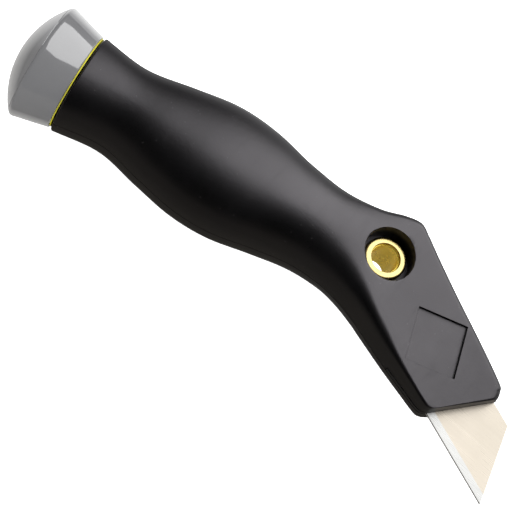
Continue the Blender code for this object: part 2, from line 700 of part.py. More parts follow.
def main():
    clear_scene()
    black_paint = material("satin_black_casting", (0.012, 0.012, 0.013), 0.42, 0.0)
    brass = material("brass", (0.86, 0.66, 0.24), 0.22, 1.0)
    spring_steel = material("spring_steel", (0.42, 0.43, 0.45), 0.35, 1.0)
    blade_steel = material("blade_steel", (0.78, 0.76, 0.72), 0.25, 1.0)
    zinc = material("zinc_plated_steel", (0.55, 0.56, 0.58), 0.4, 1.0)
    grey_plastic = material("gloss_grey_plastic", (0.17, 0.17, 0.175), 0.12, 0.0)
    yellow_plastic = material("yellow_gasket", (0.62, 0.58, 0.04), 0.5, 0.0)

    knife = bpy.data.objects.new("knife_frame", None)
    knife.location = Vector((-BOX_CENTRE_X, -BOX_CENTRE_Y, CAP_RIM_R)) * MM
    bpy.context.collection.objects.link(knife)

    rear_shell(black_paint, knife)
    front_shell(black_paint, knife)
    pivot_sleeve(brass, knife)
    pivot_collar(brass, knife)
    wave_washer(spring_steel, knife)
    blade(blade_steel, knife)
    lug_pins(zinc, knife)
    clamp_plate(zinc, knife)
    clamp_rivets(zinc, knife)
    spare_blades(blade_steel, knife)
    spare_blade_spring(spring_steel, knife)
    pommel(grey_plastic, zinc, yellow_plastic, knife)
    tail_spigot(zinc, knife)
    spigot_pins(zinc, knife)


main()
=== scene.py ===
"""Looks of the utility knife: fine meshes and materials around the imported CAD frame."""

import json
from math import asin, atan, atan2, cos, pi, radians, sin, sqrt, tan

import bmesh
import bpy
from mathutils import Matrix, Vector


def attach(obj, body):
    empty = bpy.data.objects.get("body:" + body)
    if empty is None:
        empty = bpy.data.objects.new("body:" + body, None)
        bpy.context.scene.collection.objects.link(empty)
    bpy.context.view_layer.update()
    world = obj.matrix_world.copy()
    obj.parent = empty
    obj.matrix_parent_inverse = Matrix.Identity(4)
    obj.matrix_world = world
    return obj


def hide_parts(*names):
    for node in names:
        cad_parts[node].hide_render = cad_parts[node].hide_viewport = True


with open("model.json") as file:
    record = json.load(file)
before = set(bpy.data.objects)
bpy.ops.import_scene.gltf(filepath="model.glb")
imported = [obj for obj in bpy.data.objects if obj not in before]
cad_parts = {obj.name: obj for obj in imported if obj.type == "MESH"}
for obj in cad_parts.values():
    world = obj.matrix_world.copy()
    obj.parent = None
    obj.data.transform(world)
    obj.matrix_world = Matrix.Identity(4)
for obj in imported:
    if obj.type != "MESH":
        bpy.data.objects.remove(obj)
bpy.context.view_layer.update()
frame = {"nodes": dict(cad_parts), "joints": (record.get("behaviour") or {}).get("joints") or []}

# ---------------------------------------------------------------- driving dimensions
# Lengths are millimetres about the parting plane, and SHIFT moves them into the frame.
MM = 0.001
PIVOT = Vector((26.1, 20.8, 0.0))
JOINTS = {joint["name"]: joint for joint in frame["joints"]}
SHIFT = Vector(JOINTS["cover_swing"]["pos_m"]) - PIVOT * MM
UP = Vector((0.0, 0.0, 1.0))

NOSE_ANGLE = radians(-20.0)
FLAT_HEIGHT = 10.7
FLAT_SLOPE = 0.135
REAR_FLAT = 6.6
WALL = 2.2
HALF_SEAM = 0.03
SEAM_ROUND = 0.16
SEAM_STEPS = [(1.0, 0.0), (0.3, 0.3), (0.0, 1.0)]

TAIL_CENTRE = Vector((-64.6, 4.3, 0.0))
TAIL_ANGLE = radians(10.0)
TAIL_RADIUS = 13.85
TAIL_AXIS = Vector((cos(TAIL_ANGLE), sin(TAIL_ANGLE), 0.0))
TAIL_SIDE = Vector((-sin(TAIL_ANGLE), cos(TAIL_ANGLE), 0.0))
TAIL_ROUND = 0.5
TAIL_ROUND_STEPS = 6
# Distance between the first two ribs, which turns a length near the tail into a place.
TAIL_PITCH = 13.4
NOSE_ROUND = 0.45
NOSE_ROUND_LENGTH = 0.3
NOSE_ROUND_STEPS = 5

# Ribs: belly x, y; spine x, y; front depth; rear depth; how square the section is; belly fillet.
RIBS = [
    [*(TAIL_CENTRE - TAIL_RADIUS * TAIL_SIDE)[:2], *(TAIL_CENTRE + TAIL_RADIUS * TAIL_SIDE)[:2],
     13.6, 13.6, 0.0, 8.0],
    [-49.0, -5.0, -53.8, 18.6, 13.2, 13.2, 0.0, 8.0],
    [-36.0, -5.5, -41.4, 23.8, 14.2, 14.2, 0.0, 8.0],
    [-24.0, -5.7, -28.9, 28.5, 15.0, 15.0, 0.0, 8.0],
    [-13.0, -3.6, -17.0, 30.0, 15.0, 15.0, 0.0, 8.0],
    [-2.0, 0.9, -5.0, 29.4, 14.3, 14.0, 0.0, 8.0],
    [8.0, 4.5, 6.5, 29.6, 13.2, 12.4, 0.1, 8.0],
    [17.0, 5.7, 16.5, 31.9, 12.2, 10.4, 0.45, 6.8],
    [24.0, 5.2, 23.0, 34.7, 11.2, 8.4, 0.8, 5.4],
    [30.6, 3.8, 27.6, 35.69, 10.3, 7.0, 1.0, 3.9],
    [34.1, 2.7, 31.4, 34.3, 9.8, 6.8, 1.0, 3.2],
    [37.5, 1.6, 37.5, 31.5, 9.4, REAR_FLAT, 1.0, 2.8],
    [44.9, -0.6, 48.0, 26.9, 8.2, REAR_FLAT, 1.0, 1.5],
    [51.8, -2.4, 60.1, 21.9, 6.8, REAR_FLAT, 1.0, 0.9],
    [57.2, -3.7, 70.6, 17.1, 5.4, REAR_FLAT, 1.0, 0.8],
    [59.1, -3.4, 72.3, 15.3, 5.1, REAR_FLAT, 1.0, 0.6],
    [60.3, -2.4, 73.0, 12.9, 4.9, REAR_FLAT, 1.0, 0.6],
]
LAST_RIB = len(RIBS) - 1
ROUNDNESS = 2.25
FRONT_DRAFT = 0.12
REAR_DRAFT = 0.24
SPINE_FILLET = 2.4
BELLY_FILLET_LIMIT = 0.6
SPINE_FILLET_LIMIT = 0.5
REAR_FILLET_SHARE = 0.62
STEPS_PER_RIB = 14
HOLLOW_STEPS_PER_RIB = 6
# Steps round each fillet, up each wall and across the flat top of a section.
SHELL_DETAIL = (8, 6, 14)
HOLLOW_DETAIL = (5, 4, 6)

FRONT_HOLLOWS = [(0.24, 1.55), (1.67, 3.30), (3.42, 4.90), (5.02, 6.40)]
REAR_HOLLOWS = [(0.50, 1.55), (1.67, 3.30), (3.42, 4.90), (5.02, 6.20)]

COUNTERBORE_R = 7.15
FRONT_FLOOR_Z = 4.6
REAR_FLOOR_Z = -5.1
PIVOT_BORE_R = 4.8
SLEEVE_R = 4.4
SLEEVE_BORE_R = 3.8
SLEEVE_FLANGE_R = 5.7
SLEEVE_FLANGE_THICKNESS = 1.0
# Rise and setback of the points that ease the flange's outer edge.
SLEEVE_FLANGE_EASE = [(0.0, 0.3), (0.1, 0.09), (0.3, 0.0)]
SLEEVE_MOUTH = 1.0
SLEEVE_BOTTOM_Z = -6.4
SLEEVE_TOP_Z = 6.2
COLLAR_R = 6.0
COLLAR_BORE_R = 4.0
COLLAR_BOTTOM_Z = 5.5
COLLAR_TOP_Z = 7.3
COLLAR_ROUND = 0.9
COLLAR_BORE_ROUND = 0.25
FLANGE_GAP = 0.6
# Drop past the rear flat and growth past the flange of the rear bore's chamfered mouth.
REAR_BORE_MOUTH = [(4.0, 3.6), (0.01, 0.9), (-0.2, FLANGE_GAP)]

BLADE_TIP = Vector((85.5, -12.2, 0.0))
BLADE_ANGLE = radians(-21.2)
BLADE_LENGTH = 61.0
BLADE_BACK = 33.5
BLADE_WIDTH = 19.0
BLADE_THICKNESS = 0.6
BLADE_MID_Z = -0.5
BLADE_GRIND = 2.4
BLADE_SMOOTH_ANGLE = 3.0
EDGE_THICKNESS = 0.06
HONED_WIDTH = 0.36
HONED_THICKNESS = 0.16
NOTCH_SPACING = 10.0
NOTCH_WIDTH = 2.8
NOTCH_DEPTH = 2.4
LUG_R = 1.05
LUG_BOTTOM_Z = -4.4
POCKET_PAST_TIP = 2.0
POCKET_WIDENING = 6.0

FIT_GAP = 0.30
PRESS_GAP = 0.1
# How far a cutter reaches past the face that it opens.
CUT_PAST = 1.0

PLATE_START = 12.0
PLATE_END_GAP = 0.03
PLATE_SLOT_PAST = 2.0
PLATE_BOTTOM_Z = 0.15
PLATE_TOP_Z = 1.25
PLATE_GAP = 0.15
PLATE_EDGE = 0.12
PLATE_RIVETS = [(51.0, 11.0), (60.5, 7.0)]
RIVET_R = 1.5
RIVET_TOP_Z = 4.0

RECESS_CENTRE = (50.3, 11.6)
RECESS_SIDE = 14.6
RECESS_ANGLE = radians(22.0)
RECESS_DEPTH = 0.8
RECESS_EASE_SHARE = 0.5
# Rise and growth of the eased mouth of the counterbore and the recess.
EDGE_EASE = [(-0.22, 0.0), (-0.13, 0.02), (-0.05, 0.08), (0.0, 0.20), (3.0, 3.2)]

STORE_CENTRE = Vector((-27.5, 11.2, 0.0))
STORE_ANGLE = radians(9.8)
STORE_DEPTH = 6.0
STORE_SLACK_ALONG = 1.0
STORE_SLACK_ACROSS = 0.8
SPARE_COUNT = 5
SPARE_TOP_Z = -0.35
SPARE_PITCH = 0.9

GASKET_START = 0.42
GASKET_END = 0.70
GASKET_R = 13.3
GASKET_EDGE = 0.1
GASKET_HALF_CROWN = 0.15
GASKET_SLACK = 1.0
CAP_START = 0.80
CAP_NECK_R = 13.8
CAP_NECK_ROUND = 0.3
CAP_RIM_AT = 10.8
CAP_RIM_R = 16.4
CAP_RIM_BAND = 0.2
CAP_RIM_ROUND = 0.7
CAP_DOME_AT = 0.8
CAP_DOME_SETBACK = 0.5
CAP_DOME_STEPS = 24
# Distance along the dome and depth of the groove where it meets the rim.
CAP_CREASE = [(0.08, 0.12), (0.20, 0.12), (0.28, 0.0)]
CAP_APEX = 17.34
CAP_MOUTH_R = 11.8
CAP_MOUTH_DEPTH = 2.4
INSERT_R = 9.2
INSERT_BORE_R = 7.35
INSERT_END = 9.9
INSERT_ROOM = 3.6
SPIGOT_SHOULDER_R = 10.6
TONGUE_LENGTH = 5.6
TONGUE_OUT = 1.0
TONGUE_HALF = 7.0
TONGUE_DEPTH = 9.0
PIN_R = 1.2
PIN_OFFSET = 4.0
PIN_AT = 3.2
PIN_HOLE_DEPTH = 2.6
PIN_SEGMENTS = 32
CAP_SEGMENTS = 128

# The cover swings past the cap: near its tail face it stays within SWING_REACH of the pivot.
RELIEF_LENGTH = 1.6
SWING_ALLOWANCE = 0.30
TAIL_REACH = (PIVOT - TAIL_CENTRE).dot(TAIL_AXIS)
SWING_REACH = TAIL_REACH + SWING_ALLOWANCE

# ---------------------------------------------------------------- mesh helpers

def add_object(name, bm, mat=None, smooth_angle=30.0):
    """Make an object in the frame from a bmesh written in design millimetres."""
    bmesh.ops.recalc_face_normals(bm, faces=bm.faces)
    if bm.calc_volume(signed=True) < 0:
        bmesh.ops.reverse_faces(bm, faces=bm.faces)
    bm.transform(Matrix.Translation(SHIFT) @ Matrix.Scale(MM, 4))
    mesh = bpy.data.meshes.new(name)
    bm.to_mesh(mesh)
    bm.free()
    mesh.shade_smooth()
    mesh.set_sharp_from_angle(angle=radians(smooth_angle))
    if mat:
        mesh.materials.append(mat)
    obj = bpy.data.objects.new(name, mesh)
    bpy.context.scene.collection.objects.link(obj)
    return obj


def apply_modifiers(obj, smooth_angle=30.0):
    """Replace the object's mesh with its evaluated one, without modifiers."""
    graph = bpy.context.evaluated_depsgraph_get()
    mesh = bpy.data.meshes.new_from_object(obj.evaluated_get(graph))
    obj.modifiers.clear()
    obj.data = mesh
    mesh.shade_smooth()
    mesh.set_sharp_from_angle(angle=radians(smooth_angle))


def cut(obj, bm):
    """Cut a closed bmesh out of the object."""
    cutter = add_object("cutter", bm)
    modifier = obj.modifiers.new("cut", 'BOOLEAN')
    modifier.operation = 'DIFFERENCE'
    modifier.solver = 'EXACT'
    modifier.object = cutter
    apply_modifiers(obj)
    bpy.data.objects.remove(cutter, do_unlink=True)


def bevel_edges(obj, width, segments=3, angle=40.0):
    modifier = obj.modifiers.new("edges", 'BEVEL')
    modifier.width = width * MM
    modifier.segments = segments
    modifier.limit_method = 'ANGLE'
    modifier.angle_limit = radians(angle)
    modifier.harden_normals = True


def weigh_normals(obj):
    modifier = obj.modifiers.new("normals", 'WEIGHTED_NORMAL')
    modifier.keep_sharp = True


def loft(sections):
    """Closed solid through rings of points that all have the same count."""
    bm = bmesh.new()
    rings = [[bm.verts.new(point) for point in section] for section in sections]
    for ring, following in zip(rings, rings[1:]):
        for i in range(len(ring)):
            j = (i + 1) % len(ring)
            bm.faces.new((ring[i], ring[j], following[j], following[i]))
    bm.faces.new(rings[0])
    bm.faces.new(rings[-1])
    return bm


def prism(outline, bottom, top):
    return loft([[(x, y, z) for x, y in outline] for z in (bottom, top)])


def turned(profile, origin, axis, segments=96):
    """Turn a closed profile of (along, radius) points about an axis through origin."""
    place = Matrix.Translation(origin) @ axis.to_track_quat('Z', 'Y').to_matrix().to_4x4()
    bm = bmesh.new()
    points = [bm.verts.new((radius, 0.0, along)) for along, radius in profile]
    edges = []
    for first, second in zip(points, points[1:] + points[:1]):
        if first.co.x != 0.0 or second.co.x != 0.0:
            edges.append(bm.edges.new((first, second)))
    bmesh.ops.spin(bm, geom=points + edges, cent=(0, 0, 0), axis=(0, 0, 1),
                   angle=2.0 * pi, steps=segments, use_merge=True)
    bmesh.ops.remove_doubles(bm, verts=bm.verts, dist=1e-5)
    bm.transform(place)
    return bm


def rod(bottom, top, radius):
    return [(bottom, 0.0), (bottom, radius), (top, radius), (top, 0.0)]


def rounded(corner, before, after, radius, steps=5):
    """Points of a round that replaces a profile's corner between two neighbours."""
    corner, before, after = Vector(corner), Vector(before), Vector(after)
    to_before = (before - corner).normalized()
    to_after = (after - corner).normalized()
    start = corner + to_before * radius
    end = corner + to_after * radius
    points = []
    for k in range(steps + 1):
        u = k / steps
        point = start * (1 - u) ** 2 + corner * 2 * u * (1 - u) + end * u ** 2
        points.append((point.x, point.y))
    return points


def box_along(centre, angle, length, width, bottom, top):
    turn = Matrix.Rotation(angle, 2)
    outline = []
    for i, j in [(-1, -1), (1, -1), (1, 1), (-1, 1)]:
        offset = turn @ Vector((i * length / 2, j * width / 2))
        outline.append((centre[0] + offset.x, centre[1] + offset.y))
    return prism(outline, bottom, top)


# ---------------------------------------------------------------- outer form of the shells

def rib_at(t):
    """Smooth curve through the ribs: the eight values of RIBS at any place t along them."""
    i = min(int(t), LAST_RIB - 1)
    u = t - i
    p1 = RIBS[i]
    p2 = RIBS[i + 1]
    p0 = RIBS[i - 1] if i > 0 else [2 * a - b for a, b in zip(p1, p2)]
    p3 = RIBS[i + 2] if i + 2 <= LAST_RIB else [2 * b - a for a, b in zip(p1, p2)]
    values = []
    for a, b, c, d in zip(p0, p1, p2, p3):
        values.append(0.5 * (2 * b + (c - a) * u + (2 * a - 5 * b + 4 * c - d) * u ** 2
                             + (3 * b - a - 3 * c + d) * u ** 3))
    return values


def arc(cy, cz, radius, start, end, count):
    step = (end - start) / count
    return [(cy + radius * cos(start + step * k), cz + radius * sin(start + step * k))
            for k in range(count + 1)]


def square_profile(half, depth, draft, belly_fillet, spine_fillet, arc_steps, wall_steps,
                   flat_steps):
    """Half section with drafted walls, a flat top and two fillets, from belly to spine."""
    lean = atan(draft)
    setback = 1.0 / cos(lean) - tan(lean)
    wall = depth - max(belly_fillet, spine_fillet)
    feet = [wall * k / wall_steps for k in range(wall_steps)]
    belly = arc(-half + draft * depth + belly_fillet * setback, depth - belly_fillet,
                belly_fillet, pi - lean, pi / 2, arc_steps)
    spine = arc(half - draft * depth - spine_fillet * setback, depth - spine_fillet,
                spine_fillet, pi / 2, lean, arc_steps)
    left, right = belly[-1][0], spine[0][0]
    flat = [(left + (right - left) * k / flat_steps, depth) for k in range(1, flat_steps)]
    belly_wall = [(-half + draft * foot, foot) for foot in feet]
    spine_wall = [(-y, z) for y, z in belly_wall[::-1]]
    return belly_wall + belly + flat + spine + spine_wall


def front_plane(x, y):
    """Height of the nose's sloping front flat over the parting plane."""
    along = (x - PIVOT.x) * cos(NOSE_ANGLE) + (y - PIVOT.y) * sin(NOSE_ANGLE)
    return FLAT_HEIGHT - FLAT_SLOPE * along


def seam_round(foot, inward, side, base, ease):
    """Points that round the edge between the seam face and the wall above it."""
    steps = SEAM_STEPS if ease else [(0.0, 0.0)]
    return [Vector((foot.x + inward.x * SEAM_ROUND * share, foot.y + inward.y * SEAM_ROUND * share,
                    base + side * SEAM_ROUND * rise)) for share, rise in steps]


def half_section(t, side, inset, base, ease=False, detail=SHELL_DETAIL):
    """Ring of points at place t for the front (side 1) or rear (side -1) shell."""
    lx, ly, ux, uy, front_depth, rear_depth, square, belly_fillet = rib_at(t)
    square = min(max(square, 0.0), 1.0)
    centre = Vector(((lx + ux) / 2, (ly + uy) / 2))
    across = Vector(((ux - lx) / 2, (uy - ly) / 2))
    half = across.length - inset
    across.normalize()
    depth = (front_depth if side > 0 else rear_depth) - inset
    if side > 0:
        profile = square_profile(half, depth, FRONT_DRAFT,
                                 min(belly_fillet, BELLY_FILLET_LIMIT * depth),
                                 min(SPINE_FILLET, SPINE_FILLET_LIMIT * depth), *detail)
    else:
        fillet = REAR_FILLET_SHARE * depth
        profile = square_profile(half, depth, REAR_DRAFT, fillet, fillet, *detail)
    ring = []
    for y, z in profile:
        turn = atan2(z / depth, y / half)
        reach = (abs(cos(turn)) ** ROUNDNESS + abs(sin(turn)) ** ROUNDNESS) ** (-1 / ROUNDNESS)
        y = (1 - square) * half * reach * cos(turn) + square * y
        z = (1 - square) * depth * reach * sin(turn) + square * z
        place = centre + across * y
        if side > 0:
            z *= 1 + square * ((front_plane(place.x, place.y) - inset) / depth - 1)
        ring.append(Vector((place.x, place.y, side * z)))
    inward = Vector((across.x, across.y, 0.0))
    return (seam_round(ring[0], inward, side, base, ease) + ring[1:-1]
            + seam_round(ring[-1], -inward, side, base, ease)[::-1])


def eased_for_swing(section, distance):
    """Draw a front section near the tail face inside the arc that the cover swings through."""
    fade = 1.0 - distance / RELIEF_LENGTH
    moved = []
    for point in section:
        aside = max((point - PIVOT).dot(TAIL_SIDE), 0.0)
        relief = max(TAIL_REACH - sqrt(SWING_REACH ** 2 - aside ** 2), 0.0)
        moved.append(point + TAIL_AXIS * relief * fade)
    return moved


def body_places(start, end, per_rib):
    count = max(2, round((end - start) * per_rib))
    return [start + (end - start) * k / count for k in range(count + 1)]


def shell_solid(side):
    """Shell with rounded tail and nose edges, closed at its own face on the seam."""
    base = side * HALF_SEAM
    sections = []
    for k in range(TAIL_ROUND_STEPS):
        turn = pi / 2 * k / TAIL_ROUND_STEPS
        shift = TAIL_ROUND * (1 - cos(turn))
        inset = TAIL_ROUND * (1 - sin(turn))
        section = half_section(shift / TAIL_PITCH, side, inset, base, True)
        sections.append(eased_for_swing(section, shift) if side > 0 else section)
    nose_start = LAST_RIB - NOSE_ROUND_LENGTH
    for t in body_places(TAIL_ROUND / TAIL_PITCH, nose_start, STEPS_PER_RIB):
        section = half_section(t, side, 0.0, base, True)
        near_tail = side > 0 and t * TAIL_PITCH < RELIEF_LENGTH
        sections.append(eased_for_swing(section, t * TAIL_PITCH) if near_tail else section)
    for k in range(1, NOSE_ROUND_STEPS + 1):
        turn = pi / 2 * k / NOSE_ROUND_STEPS
        place = nose_start + NOSE_ROUND_LENGTH * sin(turn)
        inset = NOSE_ROUND * (1 - cos(turn))
        sections.append(half_section(place, side, inset, base, True))
    return loft(sections)


def hollow_solid(side, start, end):
    places = body_places(start, end, HOLLOW_STEPS_PER_RIB)
    base = -side * CUT_PAST
    return loft([half_section(t, side, WALL, base, False, HOLLOW_DETAIL) for t in places])


def nose_outline(start, outward=0.0, past_end=0.0):
    """Plan outline of the nose from place start to its end, belly side first."""
    belly = []
    spine = []
    for t in body_places(start, LAST_RIB, STEPS_PER_RIB):
        lx, ly, ux, uy = rib_at(t)[:4]
        across = Vector((ux - lx, uy - ly)).normalized()
        belly.append(Vector((lx, ly)) - across * outward)
        spine.append(Vector((ux, uy)) + across * outward)
    if past_end:
        ahead = Vector((cos(NOSE_ANGLE), sin(NOSE_ANGLE))) * past_end
        belly.append(belly[-1] + ahead)
        spine.append(spine[-1] + ahead)
    return [tuple(point) for point in belly + spine[::-1]]


# ---------------------------------------------------------------- cutters

def plane_cutter(outline_at, depth_z):
    """Cutter with a floor at depth_z and a mouth eased where it meets the sloping front flat.

    outline_at(grow) gives the plan outline grown outwards.
    """
    rings = []
    start = outline_at(0.0)
    rings.append([(x, y, depth_z(x, y)) for x, y in start])
    for rise, grow in EDGE_EASE:
        rings.append([(x, y, front_plane(x, y) + rise) for x, y in outline_at(grow)])
    return loft(rings)


def circle(centre, radius, count=128):
    return [(centre[0] + radius * cos(2 * pi * k / count),
             centre[1] + radius * sin(2 * pi * k / count)) for k in range(count)]


def counterbore_cutter():
    return plane_cutter(lambda grow: circle(PIVOT, COUNTERBORE_R + grow),
                        lambda x, y: FRONT_FLOOR_Z)


def recess_cutter():
    def outline(grow):
        half = RECESS_SIDE / 2 + grow * RECESS_EASE_SHARE
        turn = Matrix.Rotation(RECESS_ANGLE, 2)
        points = []
        for i, j in [(-1, -1), (1, -1), (1, 1), (-1, 1)]:
            corner = turn @ Vector((i * half, j * half))
            points.append((RECESS_CENTRE[0] + corner.x, RECESS_CENTRE[1] + corner.y))
        return points
    return plane_cutter(outline, lambda x, y: front_plane(x, y) - RECESS_DEPTH)


# ---------------------------------------------------------------- blade outline

def blade_point(along, height):
    """Plan point of the fitted blade: along from its tip, height from its cutting edge."""
    ahead = Vector((cos(BLADE_ANGLE), sin(BLADE_ANGLE)))
    up = Vector((-ahead.y, ahead.x))
    place = Vector(BLADE_TIP[:2]) - ahead * along + up * height
    return (place.x, place.y)


def notch_points():
    middle = BLADE_LENGTH / 2
    points = []
    for centre in (middle - NOTCH_SPACING / 2, middle + NOTCH_SPACING / 2):
        half = NOTCH_WIDTH / 2
        points.append((centre - half, BLADE_WIDTH))
        for k in range(9):
            turn = pi - pi * k / 8
            points.append((centre + half * cos(turn),
                           BLADE_WIDTH - NOTCH_DEPTH + half - half * sin(turn)))
        points.append((centre + half, BLADE_WIDTH))
    return points


def blade_solid():
    """Trapezoid blade in (along, height) on its middle plane, with a ground cutting edge."""
    slant = (BLADE_LENGTH - BLADE_BACK) / 2
    run = slant * BLADE_GRIND / BLADE_WIDTH
    honed_run = run * HONED_WIDTH / BLADE_GRIND
    edge = [(0.0, 0.0), (BLADE_LENGTH, 0.0)]
    honed = [(honed_run, HONED_WIDTH), (BLADE_LENGTH - honed_run, HONED_WIDTH)]
    ground = [(run, BLADE_GRIND), (BLADE_LENGTH - run, BLADE_GRIND)]
    back = [(slant, BLADE_WIDTH)] + notch_points() + [(BLADE_LENGTH - slant, BLADE_WIDTH)]
    bm = bmesh.new()

    def layer(points, z):
        return [bm.verts.new((x, y, z)) for x, y in points]

    half = BLADE_THICKNESS / 2
    edge_top, edge_low = layer(edge, EDGE_THICKNESS / 2), layer(edge, -EDGE_THICKNESS / 2)
    honed_top, honed_low = layer(honed, HONED_THICKNESS / 2), layer(honed, -HONED_THICKNESS / 2)
    ground_top, ground_low = layer(ground, half), layer(ground, -half)
    back_top, back_low = layer(back, half), layer(back, -half)
    bm.faces.new([ground_top[0]] + back_top + [ground_top[1]])
    bm.faces.new([ground_low[0]] + back_low + [ground_low[1]])
    for edge_side, honed_side, ground_side in ((edge_top, honed_top, ground_top),
                                               (edge_low, honed_low, ground_low)):
        # Slot 1 takes the bevel's lighter steel (partly a painted highlight), slot 2 the honed
        # edge's darkened steel (painted shade).
        bm.faces.new(honed_side + ground_side[::-1]).material_index = 1
        bm.faces.new(edge_side + honed_side[::-1]).material_index = 2
    bm.faces.new(edge_top + edge_low[::-1])
    for i, j in zip(range(len(back) - 1), range(1, len(back))):
        bm.faces.new((back_top[i], back_top[j], back_low[j], back_low[i]))
    for end in (0, 1):
        rear = -end
        bm.faces.new((ground_top[end], back_top[rear], back_low[rear], ground_low[end]))
        bm.faces.new((honed_top[end], ground_top[end], ground_low[end], honed_low[end]))
        bm.faces.new((edge_top[end], honed_top[end], honed_low[end], edge_low[end]))
    return bm


# ---------------------------------------------------------------- node helpers for materials

class Nodes:
    """Short calls for building a material's node tree."""

    def __init__(self, name):
        self.material = bpy.data.materials.new(name)
        self.material.use_nodes = True
        self.tree = self.material.node_tree
        self.shader = self.tree.nodes["Principled BSDF"]
        self.coords = self.add("ShaderNodeTexCoord").outputs["Object"]

    def add(self, kind, **settings):
        node = self.tree.nodes.new(kind)
        for key, value in settings.items():
            setattr(node, key, value)
        return node

    def link(self, output, target):
        self.tree.links.new(output, target)

    def set(self, **values):
        for key, value in values.items():
            self.shader.inputs[key.replace("_", " ")].default_value = value

    def stretched(self, scale, rotation=(0.0, 0.0, 0.0)):
        mapping = self.add("ShaderNodeMapping")
        mapping.inputs["Scale"].default_value = scale
        mapping.inputs["Rotation"].default_value = rotation
        self.link(self.coords, mapping.inputs["Vector"])
        return mapping.outputs["Vector"]

    def noise(self, scale, detail=3.0, vector=None, roughness=0.5):
        node = self.add("ShaderNodeTexNoise")
        node.inputs["Scale"].default_value = scale
        node.inputs["Detail"].default_value = detail
        node.inputs["Roughness"].default_value = roughness
        self.link(vector or self.coords, node.inputs["Vector"])
        return node.outputs["Fac"]

    def spots(self, scale, low, high):
        """Rare small dots: 1 inside a dot, 0 elsewhere."""
        node = self.add("ShaderNodeTexVoronoi")
        node.inputs["Scale"].default_value = scale
        self.link(self.coords, node.inputs["Vector"])
        return self.ramp(node.outputs["Distance"], [(low, 1.0), (high, 0.0)])

    def ramp(self, value, stops):
        """Map a value through (position, grey or colour) stops."""
        node = self.add("ShaderNodeValToRGB")
        elements = node.color_ramp.elements
        while len(elements) < len(stops):
            elements.new(0.5)
        for element, (position, color) in zip(elements, stops):
            if isinstance(color, float):
                color = (color, color, color)
            element.position = position
            element.color = (*color, 1.0)
        self.link(value, node.inputs["Fac"])
        return node.outputs["Color"]

    def math(self, operation, first, second):
        node = self.add("ShaderNodeMath", operation=operation)
        for socket, value in zip(node.inputs, (first, second)):
            if isinstance(value, (int, float)):
                socket.default_value = value
            else:
                self.link(value, socket)
        return node.outputs["Value"]

    def mix(self, factor, first, second):
        node = self.add("ShaderNodeMix", data_type='RGBA')
        self.link(factor, node.inputs["Factor"])
        for socket, value in ((node.inputs["A"], first), (node.inputs["B"], second)):
            if isinstance(value, tuple):
                socket.default_value = (*value, 1.0)
            else:
                self.link(value, socket)
        return node.outputs["Result"]

    def bump(self, height, strength, distance, normal=None):
        node = self.add("ShaderNodeBump")
        node.inputs["Strength"].default_value = strength
        node.inputs["Distance"].default_value = distance
        self.link(height, node.inputs["Height"])
        if normal:
            self.link(normal, node.inputs["Normal"])
        return node.outputs["Normal"]

    def finish(self, color=None, roughness=None, normal=None):
        if color:
            self.link(color, self.shader.inputs["Base Color"])
        if roughness:
            self.link(roughness, self.shader.inputs["Roughness"])
        if normal:
            self.link(normal, self.shader.inputs["Normal"])
        return self.material


# ---------------------------------------------------------------- materials

def satin_black():
    """Satin black paint over a die casting: fine orange peel, faint handling marks, dust."""
    n = Nodes("satin_black_paint")
    n.set(Specular_IOR_Level=1.0, Specular_Tint=(0.99, 0.945, 1.0, 1.0))
    cloud = n.noise(55.0, 4.0)
    peel = n.noise(1700.0, 2.0)
    swell = n.noise(420.0, 3.0)
    dust = n.spots(420.0, 0.035, 0.055)
    shade = n.ramp(cloud, [(0.35, (0.0008, 0.0008, 0.0010)), (0.65, (0.0016, 0.0015, 0.0019))])
    color = n.mix(dust, shade, (0.05, 0.05, 0.048))
    marks = n.noise(1.0, 5.0, n.stretched((420.0, 60.0, 420.0)), 0.7)
    rough = n.math('ADD', n.ramp(cloud, [(0.3, 0.40), (0.7, 0.47)]),
                   n.ramp(marks, [(0.55, 0.0), (0.75, 0.05)]))
    normal = n.bump(peel, 0.10, 0.00005)
    normal = n.bump(swell, 0.30, 0.00008, normal)
    return n.finish(color, rough, normal)


def gloss_grey():
    """Glossy moulded grey plastic, lightened towards its silhouettes by a painted reflection."""
    n = Nodes("gloss_grey_plastic")
    n.set(Coat_Weight=1.0, Coat_Roughness=0.03, Coat_IOR=1.75)
    cloud = n.noise(80.0, 3.0)
    body = n.ramp(cloud, [(0.3, (0.118, 0.118, 0.122)), (0.7, (0.130, 0.130, 0.134))])
    facing = n.add("ShaderNodeLayerWeight").outputs["Facing"]
    # Painted reflection: towards the silhouettes the base colour turns light grey, in place of the
    # white surroundings reflected at grazing angles.
    color = n.mix(n.ramp(facing, [(0.55, 0.0), (1.0, 1.0)]), body, (0.62, 0.62, 0.62))
    gloss = n.ramp(facing, [(0.70, 1.0), (0.92, 0.0)])
    n.link(gloss, n.shader.inputs["Coat Weight"])
    n.link(n.math('MULTIPLY', gloss, 0.5), n.shader.inputs["Specular IOR Level"])
    scuff = n.noise(1.0, 5.0, n.stretched((90.0, 700.0, 90.0), (0.0, 0.0, 0.6)), 0.7)
    rough = n.ramp(scuff, [(0.5, 0.13), (0.8, 0.24)])
    swell = n.noise(300.0, 2.0)
    normal = n.bump(swell, 0.05, 0.00008)
    return n.finish(color, rough, normal)


